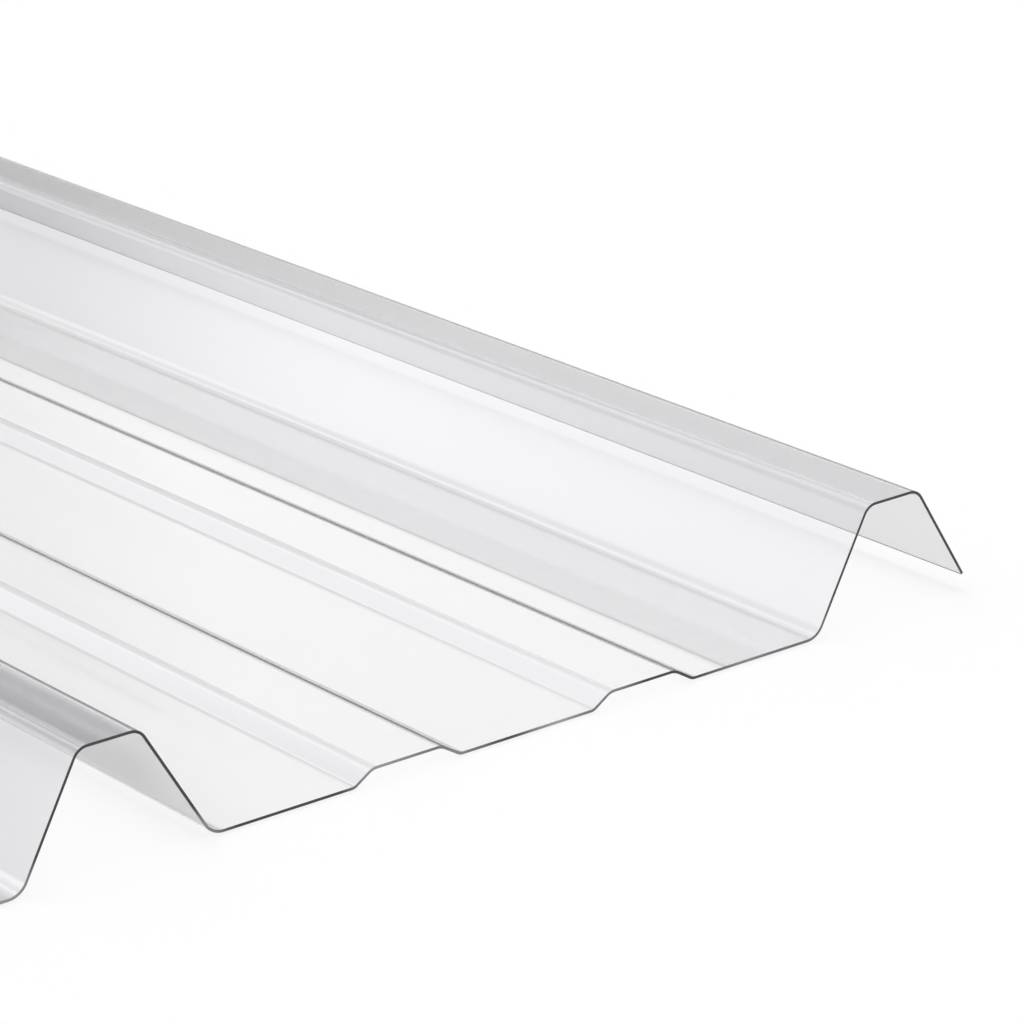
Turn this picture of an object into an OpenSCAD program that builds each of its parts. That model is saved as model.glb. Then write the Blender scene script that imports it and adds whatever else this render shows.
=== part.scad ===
// Trapezoidal roofing sheet in clear polycarbonate.
//
// One extruded sheet with a wall of even thickness: flat-topped ribs at a fixed pitch, broad
// pans between them, and low stiffening swages in each pan. The long edges are the outer legs
// of the first and the last rib. They stop a little above the pans, so that the rib of the
// next sheet can lie over them. The two ends are plain saw cuts.
//
// X runs across the sheet, Y along its ribs and Z up. The pans rest on Z = 0, and the
// middle of the sheet is over the origin. All sizes are in millimetres.

/* [Sheet] */
// Length of the sheet, from saw cut to saw cut
sheet_length = 2000; // [500:100:6000]
// Thickness of the wall
wall = 0.8; // [0.7:0.1:1.5]

/* [Ribs] */
// Number of ribs across the sheet
rib_count = 5; // [2:1:7]
// Distance from one rib to the next
rib_pitch = 250; // [200:5:350]
// Height of a rib above its pans, wall to wall
rib_height = 33; // [20:1:50]
// Width of a rib's flat top, between the bend lines
crown_width = 17.5; // [14:0.5:40]
// Width of a rib at the pans, between the bend lines
foot_width = 55; // [50:1:80]
// Radius of the bends beside the top of a rib
crown_radius = 4.5; // [2:0.5:9]
// Radius of the bends at the feet of a rib
foot_radius = 6; // [2:0.5:12]
// Height at which the long edges of the sheet stop, above the pans
edge_lift = 5; // [0:1:10]

/* [Swages] */
// Number of stiffening swages in each pan
swage_count = 2; // [0:1:2]
// Width of a swage at the pan, between the bend lines
swage_width = 33; // [28:1:40]
// Width of a swage's flat top, between the bend lines
swage_top = 21.5; // [8:0.5:22]
// Height of a swage above its pan
swage_height = 3.6; // [1:0.2:6]
// Radius of the bends beside the top of a swage
swage_top_radius = 5; // [1:0.5:6]
// Radius of the bends at the feet of a swage
swage_foot_radius = 3; // [1:0.5:4]

/* [Smoothness] */
// Angle between two points on a bend, in degrees
bend_step = 5; // [3:1:15]

/* [Hidden] */

// Flat stretches of a pan are all alike: between swages, and from a swage to a rib
pan_width = rib_pitch - foot_width;
pan_flat = (pan_width - swage_count * swage_width) / (swage_count + 1);
swage_pitch = pan_flat + swage_width;

// Middle of the wall, in the flat of a pan and at the top of a rib
pan_level = wall / 2;
crown_level = pan_level + rib_height;

// Height and sideways reach of the long edges, measured along the slope of a rib's leg
edge_level = pan_level + edge_lift;
edge_reach = foot_width / 2 - (foot_width - crown_width) / 2 * edge_lift / rib_height;

// Places of the ribs across the sheet
first_rib = -(rib_count - 1) / 2 * rib_pitch;
last_rib = -first_rib;

// The middle line of the wall is a list of corners, from the left edge to the right edge.
// A corner is [x, z, radius of its bend].

// The four corners of a raised form: a rib, or a swage
function raised_form(x, foot, top, z, low_r, high_r) = [
    [x - foot / 2, pan_level, low_r],
    [x - top / 2, z, high_r],
    [x + top / 2, z, high_r],
    [x + foot / 2, pan_level, low_r],
];

function rib(x) = raised_form(x, foot_width, crown_width, crown_level, foot_radius, crown_radius);

function swage(x) = raised_form(
    x, swage_width, swage_top, pan_level + swage_height, swage_foot_radius, swage_top_radius
);

// The swages of the pan whose middle is at x, from left to right
function pan_swages(x) = [
    for (i = [0 : 1 : swage_count - 1])
        each swage(x + (i - (swage_count - 1) / 2) * swage_pitch)
];

// All ribs and pans, with a whole rib at each side
ribs_and_pans = [
    for (i = [0 : rib_count - 1])
        let (x = first_rib + i * rib_pitch)
            each concat(rib(x), i < rib_count - 1 ? pan_swages(x + rib_pitch / 2) : [])
];

// The outer foot of the two outer ribs gives way to the sheet's free edge
middle_line = concat(
    [[first_rib - edge_reach, edge_level, 0]],
    [for (i = [1 : len(ribs_and_pans) - 2]) ribs_and_pans[i]],
    [[last_rib + edge_reach, edge_level, 0]]
);

function place(corner) = [corner.x, corner.y];

function heading(from, to) = (place(to) - place(from)) / norm(place(to) - place(from));

// Normal to the left of a heading, and the same vector turned by an angle
function left_of(v) = [-v.y, v.x];
function turned(v, a) = [v.x * cos(a) - v.y * sin(a), v.x * sin(a) + v.y * cos(a)];

// Points of the bend at one corner, on the line that lies the given distance to the left of
// the middle line. The bend is an arc that touches both straights.
function bend(before, corner, after, distance) =
    let (
        ahead = heading(before, corner),
        next = heading(corner, after),
        angle = atan2(ahead.x * next.y - ahead.y * next.x, ahead * next),
        radius = sign(angle) * corner[2],
        start = place(corner) - ahead * corner[2] * tan(abs(angle) / 2),
        centre = start + left_of(ahead) * radius,
        steps = max(1, ceil(abs(angle) / bend_step))
    )
    [
        for (i = [0 : steps])
            centre - turned(left_of(ahead), angle * i / steps) * (radius - distance)
    ];

// One face of the wall, as a line parallel to the middle line
function wall_line(distance) =
    let (
        last = len(middle_line) - 1,
        start_normal = left_of(heading(middle_line[0], middle_line[1])),
        end_normal = left_of(heading(middle_line[last - 1], middle_line[last]))
    )
    concat(
        [place(middle_line[0]) + start_normal * distance],
        [
            for (i = [1 : last - 1])
                each bend(middle_line[i - 1], middle_line[i], middle_line[i + 1], distance)
        ],
        [place(middle_line[last]) + end_normal * distance]
    );

function backwards(line) = [for (i = [len(line) - 1 : -1 : 0]) line[i]];

module cross_section()
    polygon(concat(wall_line(-wall / 2), backwards(wall_line(wall / 2))));

module sheet()
    color("gainsboro", 0.4)
        rotate([90, 0, 0])
            linear_extrude(height = sheet_length, center = true)
                cross_section();

sheet();
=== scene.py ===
from math import cos, radians, sin

import bpy
import numpy as np
from mathutils import Matrix, Vector


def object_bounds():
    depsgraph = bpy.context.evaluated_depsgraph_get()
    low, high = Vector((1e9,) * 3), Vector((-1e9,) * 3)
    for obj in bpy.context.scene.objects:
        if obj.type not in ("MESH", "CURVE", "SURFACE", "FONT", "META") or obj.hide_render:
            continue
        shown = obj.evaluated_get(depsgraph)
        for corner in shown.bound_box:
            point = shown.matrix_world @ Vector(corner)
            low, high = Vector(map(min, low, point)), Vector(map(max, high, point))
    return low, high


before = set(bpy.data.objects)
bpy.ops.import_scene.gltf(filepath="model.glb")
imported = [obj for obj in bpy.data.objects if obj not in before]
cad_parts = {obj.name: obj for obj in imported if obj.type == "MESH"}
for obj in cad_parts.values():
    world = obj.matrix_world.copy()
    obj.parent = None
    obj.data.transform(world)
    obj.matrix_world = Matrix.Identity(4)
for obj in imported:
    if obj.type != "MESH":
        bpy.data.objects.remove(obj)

scene = bpy.context.scene
scene.view_settings.view_transform = "Standard"
cad_low, cad_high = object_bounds()


# The sheet's wall.
# Clear polycarbonate, extruded through a flat die, polished between rolls and formed to its
# ribs while it is warm. It is colourless, and glossy on both faces.

def linear(hex_colour):
    """An sRGB hex colour as linear RGBA. Each channel's share of white goes through the
    sRGB curve: divided by 12.92 when it is small, else ((share + 0.055) / 1.055) ^ 2.4."""
    shares = np.array([int(hex_colour[i : i + 2], 16) for i in (1, 3, 5)]) / 255
    light = np.where(shares <= 0.04045, shares / 12.92, ((shares + 0.055) / 1.055) ** 2.4)
    return (*light.tolist(), 1.0)


def add(tree, kind, settings=(), **links):
    """Adds a node. Settings go to its own fields or to its sockets, by name or number, and
    links give another node's socket for an input: Normal, Base_Color, or i0 for number 0."""
    node = tree.nodes.new(kind)
    for name, value in dict(settings).items():
        if isinstance(name, str) and hasattr(node, name):
            setattr(node, name, value)
        else:
            node.inputs[name].default_value = value
    for name, source in links.items():
        socket = int(name[1:]) if name[1:].isdigit() else name.replace("_", " ")
        tree.links.new(source, node.inputs[socket])
    return node


def new_material(name):
    """An empty material, its nodes, and the socket that takes its surface."""
    material = bpy.data.materials.new(name)
    material.use_nodes = True
    material.node_tree.nodes.clear()
    out = add(material.node_tree, "ShaderNodeOutputMaterial")
    return material, material.node_tree, out.inputs["Surface"]


clear, tree, surface = new_material("clear extruded polycarbonate")
place = add(tree, "ShaderNodeTexCoord").outputs["Object"]
refractive_index = 1.585

# The rolls leave a faint draw: waves about 30 mm across the ribs and 0.8 m along them, a few
# hundredths of a millimetre deep. They make long reflections waver.
waves_per_metre = (30, 1.2, 30)
drawn = add(tree, "ShaderNodeMapping", {"Scale": waves_per_metre}, Vector=place).outputs[0]
waves = add(tree, "ShaderNodeTexNoise", {"Scale": 1.0, "Detail": 2.0}, Vector=drawn).outputs["Fac"]
wavy = add(tree, "ShaderNodeBump", {"Strength": 0.1, "Distance": 0.001}, Height=waves).outputs[0]

# The wall's own faint grey shows straight on. On a slant it is painted greyer, most of all 74
# degrees
# from straight on: painted shade that stands in for the darker surroundings a slanted clear wall
# shows. Slants of 0.50 to 0.62, which mostly the bends show, get painted shade too, which tones
# down their highlights. Past 74 degrees the painted shade is eased off, so that slopes seen almost
# edge on stay light. The stops go by how slantwise the wall is seen: 0 is straight on and 1 is edge
# on.
slant = add(tree, "ShaderNodeLayerWeight", {"Blend": 0.5}, Normal=wavy).outputs["Facing"]
tint_and_painted_shade = add(tree, "ShaderNodeValToRGB", Fac=slant)
tints_and_painted_shades = {
    0.46: "#F4F4F6",
    0.50: "#DEDEE0",
    0.62: "#CDCDCE",
    0.675: "#CACACB",
    0.70: "#C6C6C7",
    0.73: "#8C8C8D",
    0.775: "#B8B8B9",
    0.82: "#D4D4D5",
    0.88: "#E8E8E9",
}
stops = tint_and_painted_shade.color_ramp.elements
while len(stops) < len(tints_and_painted_shades):
    stops.new(1.0)
for stop, (position, colour) in zip(stops, tints_and_painted_shades.items()):
    stop.position, stop.color = position, linear(colour)

# The wall's base colour carries that painted shade on a slant.
polished = add(
    tree,
    "ShaderNodeBsdfPrincipled",
    {"Roughness": 0.02, "IOR": refractive_index, "Transmission Weight": 1.0},
    Base_Color=tint_and_painted_shade.outputs["Color"],
    Normal=wavy,
).outputs[0]

# Lamplight, and light scattered by what lies near, go straight through so thin a wall. Less
# of it gets through on a steep slant, so the ribs cast a faint shadow.
steep = add(tree, "ShaderNodeLayerWeight", {"Blend": 0.5}).outputs["Facing"]
fall_off, most_passed = 6.0, 0.965
steeper = add(tree, "ShaderNodeMath", {"operation": "POWER", 1: fall_off}, i0=steep).outputs[0]
passed = add(
    tree, "ShaderNodeMapRange", {"To Min": most_passed, "To Max": 0.0}, Value=steeper
).outputs[0]
window = add(tree, "ShaderNodeBsdfTransparent", Color=passed).outputs[0]
ray = add(tree, "ShaderNodeLightPath").outputs
lighting_up = add(
    tree,
    "ShaderNodeMath",
    {"operation": "MAXIMUM"},
    i0=ray["Is Shadow Ray"],
    i1=ray["Is Diffuse Ray"],
).outputs[0]
wall = add(tree, "ShaderNodeMixShader", i0=lighting_up, i1=polished, i2=window)
tree.links.new(wall.outputs[0], surface)


# The sheet's two ends.
# Cut across the ribs with a fine-toothed saw. The cut is matt, and its near-black grey is painted
# shade: it stands in for the dark that a clear wall shows when it is seen end on. The teeth leave
# marks about 1.5 mm apart.
sawn, tree, surface = new_material("sawn polycarbonate")
place = add(tree, "ShaderNodeTexCoord").outputs["Object"]
marks_per_metre = 650.0
teeth = add(
    tree, "ShaderNodeTexNoise", {"Scale": marks_per_metre, "Detail": 3.0}, Vector=place
).outputs["Fac"]
marks_in_painted_shade = add(tree, "ShaderNodeValToRGB", Fac=teeth)
for stop, (position, colour) in zip(
    marks_in_painted_shade.color_ramp.elements, {0.3: "#1B1D1F", 0.7: "#303336"}.items()
):
    stop.position, stop.color = position, linear(colour)

# Along the pans the painted shade turns paler every 40 mm or so. From 9 mm up, which is on the
# ribs, it stays dark all the way.
patches_per_metre = 25.0
all_pale, all_dark = 0.004, 0.009
patches = add(
    tree, "ShaderNodeTexNoise", {"Scale": patches_per_metre, "Detail": 1.0}, Vector=place
).outputs["Fac"]
pale = add(
    tree, "ShaderNodeMapRange", {"From Min": 0.43, "From Max": 0.68}, Value=patches
).outputs[0]
above_floor = add(tree, "ShaderNodeSeparateXYZ", i0=place).outputs["Z"]
in_pan = add(
    tree, "ShaderNodeMapRange", {"From Min": all_dark, "From Max": all_pale}, Value=above_floor
).outputs[0]
pale = add(tree, "ShaderNodeMath", {"operation": "MULTIPLY"}, i0=pale, i1=in_pan).outputs[0]
# The cut's colour is painted shade, paler in patches on the pans.
painted_end_shade = add(
    tree,
    "ShaderNodeMix",
    {"data_type": "RGBA", 7: linear("#AAADB0")},
    i0=pale,
    i6=marks_in_painted_shade.outputs["Color"],
).outputs[2]
dull = add(tree, "ShaderNodeMapRange", {"To Min": 0.35, "To Max": 0.6}, Value=teeth).outputs[0]
scored = add(tree, "ShaderNodeBump", {"Strength": 0.4, "Distance": 0.0002}, Height=teeth).outputs[0]
saw_cut = add(
    tree,
    "ShaderNodeBsdfPrincipled",
    {"IOR": refractive_index},
    Base_Color=painted_end_shade,
    Roughness=dull,
    Normal=scored,
)
tree.links.new(saw_cut.outputs[0], surface)


# The sheet's two long edges.
# Trimmed in the line by a slitting knife, so they are smoother than the saw cuts. Their dark grey
# is painted shade for how dark a clear wall shows edge on, a little brighter than on the saw
# cuts, with a light streak along them every 40 mm or so.
slit, tree, surface = new_material("slit polycarbonate")
place = add(tree, "ShaderNodeTexCoord").outputs["Object"]
streaks_per_metre = (400, 25, 400)
drawn = add(tree, "ShaderNodeMapping", {"Scale": streaks_per_metre}, Vector=place).outputs[0]
knife = add(tree, "ShaderNodeTexNoise", {"Scale": 1.0, "Detail": 2.0}, Vector=drawn).outputs["Fac"]
# Painted shade, with light streaks along the edge.
streaks_in_painted_shade = add(tree, "ShaderNodeValToRGB", Fac=knife)
for stop, (position, colour) in zip(
    streaks_in_painted_shade.color_ramp.elements, {0.35: "#232527", 0.75: "#3C3F42"}.items()
):
    stop.position, stop.color = position, linear(colour)
shine = add(tree, "ShaderNodeMapRange", {"To Min": 0.2, "To Max": 0.4}, Value=knife).outputs[0]
knife_cut = add(
    tree,
    "ShaderNodeBsdfPrincipled",
    {"IOR": refractive_index},
    Base_Color=streaks_in_painted_shade.outputs["Color"],
    Roughness=shine,
)
tree.links.new(knife_cut.outputs[0], surface)


# The sheet.
# One piece, extruded and formed in one line: true flats that run into smooth bends, cut off
# square at the ends. Its faces take their finish from where they lie.
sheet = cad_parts["sheet"]
sheet.data.materials.clear()
for material in (clear, sawn, slit):
    sheet.data.materials.append(material)

finish = bpy.data.node_groups.new("cuts and bends", "GeometryNodeTree")
finish.interface.new_socket("Sheet", in_out="INPUT", socket_type="NodeSocketGeometry")
finish.interface.new_socket("Sheet", in_out="OUTPUT", socket_type="NodeSocketGeometry")
solid = add(finish, "NodeGroupInput").outputs[0]
solid = add(
    finish, "GeometryNodeMergeByDistance", {"Distance": 0.000001}, Geometry=solid
).outputs[0]
solid = add(
    finish, "GeometryNodeRemoveAttribute", {"Name": "custom_normal"}, Geometry=solid
).outputs[0]
solid = add(finish, "GeometryNodeSetShadeSmooth", {"domain": "FACE"}, Geometry=solid).outputs[0]

# A bend turns by less than 5 degrees from face to face, and the rims of the cuts turn by 90.
sharp = radians(20)
turn = add(finish, "GeometryNodeInputMeshEdgeAngle").outputs["Unsigned Angle"]
gentle = add(finish, "ShaderNodeMath", {"operation": "LESS_THAN", 1: sharp}, i0=turn).outputs[0]
solid = add(
    finish, "GeometryNodeSetShadeSmooth", {"domain": "EDGE"}, Geometry=solid, Shade_Smooth=gentle
).outputs[0]

# Faces that look along the ribs are the saw cuts.
facing = add(finish, "ShaderNodeSeparateXYZ", i0=add(finish, "GeometryNodeInputNormal").outputs[0])
end_on = add(finish, "ShaderNodeMath", {"operation": "ABSOLUTE"}, i0=facing.outputs["Y"]).outputs[0]
at_end = add(finish, "ShaderNodeMath", {"operation": "GREATER_THAN", 1: 0.5}, i0=end_on).outputs[0]
solid = add(
    finish, "GeometryNodeSetMaterial", {"Material": sawn}, Geometry=solid, Selection=at_end
).outputs[0]

# Faces in the outermost millimetre of the width are the knife cuts.
inside_edge = cad_high.x - 0.001
spot = add(finish, "ShaderNodeSeparateXYZ", i0=add(finish, "GeometryNodeInputPosition").outputs[0])
reach = add(finish, "ShaderNodeMath", {"operation": "ABSOLUTE"}, i0=spot.outputs["X"]).outputs[0]
at_side = add(
    finish, "ShaderNodeMath", {"operation": "GREATER_THAN", 1: inside_edge}, i0=reach
).outputs[0]
solid = add(
    finish, "GeometryNodeSetMaterial", {"Material": slit}, Geometry=solid, Selection=at_side
).outputs[0]
add(finish, "NodeGroupOutput", i0=solid)
sheet.modifiers.new("cuts and bends", "NODES").node_group = finish

flats = sheet.modifiers.new("true flats", "WEIGHTED_NORMAL")
flats.mode = "FACE_AREA"
flats.weight = 100
flats.keep_sharp = True


# The floor.
# White studio paper, 24 m square, a third of a millimetre under the pans. Half of what the
# eye, the gloss and the clear wall see of it is its own white, and half is lit, so that it
# keeps the sheet's soft shadow.
half, gap = 12.0, 0.0003
level = cad_low.z - gap
corners = np.array(
    [(-half, -half, level), (half, -half, level), (half, half, level), (-half, half, level)]
)
paper_mesh = bpy.data.meshes.new("floor")
paper_mesh.from_pydata(corners.tolist(), [], [(0, 1, 2, 3)])
floor = bpy.data.objects.new("floor", paper_mesh)
scene.collection.objects.link(floor)

paper, tree, surface = new_material("white studio paper")
ray = add(tree, "ShaderNodeLightPath").outputs
own_share = 0.5
seen = add(
    tree,
    "ShaderNodeMath",
    {"operation": "ADD"},
    i0=ray["Is Camera Ray"],
    i1=ray["Is Glossy Ray"],
).outputs[0]
seen = add(
    tree,
    "ShaderNodeMath",
    {"operation": "ADD", "use_clamp": True},
    i0=seen,
    i1=ray["Is Transmission Ray"],
).outputs[0]
own = add(tree, "ShaderNodeMath", {"operation": "MULTIPLY", 1: own_share}, i0=seen).outputs[0]
matt = add(tree, "ShaderNodeBsdfDiffuse", {"Color": (0.9, 0.9, 0.9, 1.0)}).outputs[0]
white = add(tree, "ShaderNodeEmission", {"Strength": 1.0}).outputs[0]
both = add(tree, "ShaderNodeMixShader", i0=own, i1=matt, i2=white)
tree.links.new(both.outputs[0], surface)
paper_mesh.materials.append(paper)


# The studio.
# A pale room, darker to the left, with a white ceiling. A long white panel behind the sheet
# is what its flats reflect, one to the left lights the near legs of its ribs, and a narrow
# one with a dimmer wing hangs between them. One big soft lamp adds the shadow.
studio = bpy.data.worlds.new("studio")
studio.use_nodes = True
scene.world = studio
room = studio.node_tree
room.nodes.clear()
toward = add(room, "ShaderNodeTexCoord").outputs["Generated"]


def rise(direction, start, full, low=0.0, high=1.0, soft=True):
    """A level of light that goes from low to high as the cosine of the angle to the given
    direction goes from start to full, with or without easing at its ends."""
    cosine = add(
        room, "ShaderNodeVectorMath", {"operation": "DOT_PRODUCT", 1: direction}, i0=toward
    ).outputs["Value"]
    settings = {
        "interpolation_type": "SMOOTHSTEP" if soft else "LINEAR",
        "From Min": start,
        "From Max": full,
        "To Min": low,
        "To Max": high,
    }
    return add(room, "ShaderNodeMapRange", settings, Value=cosine).outputs[0]


def joined(operation, first, second):
    """Two levels multiplied, or the brighter of the two."""
    return add(room, "ShaderNodeMath", {"operation": operation}, i0=first, i1=second).outputs[0]


right_hand, along_ribs, up = (1, 0, 0), (0, 1, 0), (0, 0, 1)
walls = rise(up, 0.38, 0.46, low=0.38, high=0.8)
walls = joined("MULTIPLY", walls, rise(right_hand, -0.45, 0.25, low=0.45, soft=False))
ceiling = rise(up, 0.72, 0.85, high=1.2)

# Near the floor the room is white, except at the left.
horizon = rise(up, 0.20, 0.28, low=1.0, high=0.0)
horizon = joined("MULTIPLY", horizon, rise(right_hand, -0.45, -0.20))

# The back panel is dimmer along its lower edge, which the rightmost crown reflects. Its left
# end is cut off where the next crown would reflect it.
over_dim_edge = (-0.4985, 0, 0.8669)
under_left_end = (0.6126, 0, -0.7904)
beside_left_end = (0.8526, -0.5225, 0)
back = rise(over_dim_edge, -0.012, 0.012, low=1.0, high=1.6)
left_end = joined(
    "MAXIMUM", rise(under_left_end, -0.0012, 0.0006), rise(beside_left_end, -0.0005, 0.002)
)
back = joined("MULTIPLY", back, left_end)
back = joined("MULTIPLY", back, rise(up, 0.42, 0.62, low=1.0, high=0.0))
back = joined("MULTIPLY", back, rise(right_hand, 0.475, 0.505, low=0.82, soft=False))

# The side panel is brightest along its inner edge, and fades outwards.
to_side = (-0.5305, -0.536, 0.6569)
side = rise(to_side, -0.02, 0.07)
side = joined("MULTIPLY", side, rise(to_side, 0.08, 0.35, low=1.35, high=0.4, soft=False))
side = joined("MULTIPLY", side, rise(up, 0.40, 0.64, low=1.0, high=0.0))

# The narrow panel is almost twice as bright as white, and its wing is just white.
narrow = rise(up, 0.48, 0.56, high=1.85)
wing = rise(right_hand, -0.14, -0.11, high=0.54)
narrow = joined("MULTIPLY", narrow, joined("MAXIMUM", wing, rise(right_hand, -0.03, -0.01)))
narrow = joined("MULTIPLY", narrow, rise(right_hand, 0.035, 0.055, low=1.0, high=0.0))
narrow = joined("MULTIPLY", narrow, rise(along_ribs, 0.3, 0.6))

light = walls
for panel in (horizon, ceiling, back, side, narrow):
    light = joined("MAXIMUM", light, panel)
shown = add(room, "ShaderNodeBackground", {"Color": linear("#FFFFFF")}, Strength=light)
add(room, "ShaderNodeOutputWorld", Surface=shown.outputs[0])

daylight = bpy.data.lights.new("soft lamp", "SUN")
daylight.energy = 0.82
daylight.angle = radians(50)
lamp = bpy.data.objects.new("soft lamp", daylight)
lamp.rotation_euler = (radians(25), 0, radians(-120))
lamp.visible_glossy = False
scene.collection.objects.link(lamp)


# The camera.
# A long lens, 1.4 m from the front right corner of the sheet and 20 degrees above it. It looks
# back over the ribs, 36 degrees to the right of the way they run.
lens = bpy.data.cameras.new("camera")
lens.lens = 172.0
lens.sensor_width = 36.0
lens.clip_start = 0.05
lens.clip_end = 50.0
camera = bpy.data.objects.new("camera", lens)
scene.collection.objects.link(camera)
scene.camera = camera

bearing, downward, roll = radians(36.30), radians(19.69), radians(-2.40)
from_side, from_end, distance = 0.05135, 0.1371, 1.415
aim = Vector((cad_high.x - from_side, cad_low.y + from_end, cad_low.z))
ahead = Vector((sin(bearing) * cos(downward), cos(bearing) * cos(downward), -sin(downward)))
sideways = ahead.cross(Vector(up)).normalized()
upright = sideways.cross(ahead)
right = sideways * cos(roll) + upright * sin(roll)
top = upright * cos(roll) - sideways * sin(roll)
eye = aim - ahead * distance
camera.matrix_world = Matrix(
    (
        (right.x, top.x, -ahead.x, eye.x),
        (right.y, top.y, -ahead.y, eye.y),
        (right.z, top.z, -ahead.z, eye.z),
        (0, 0, 0, 1),
    )
)
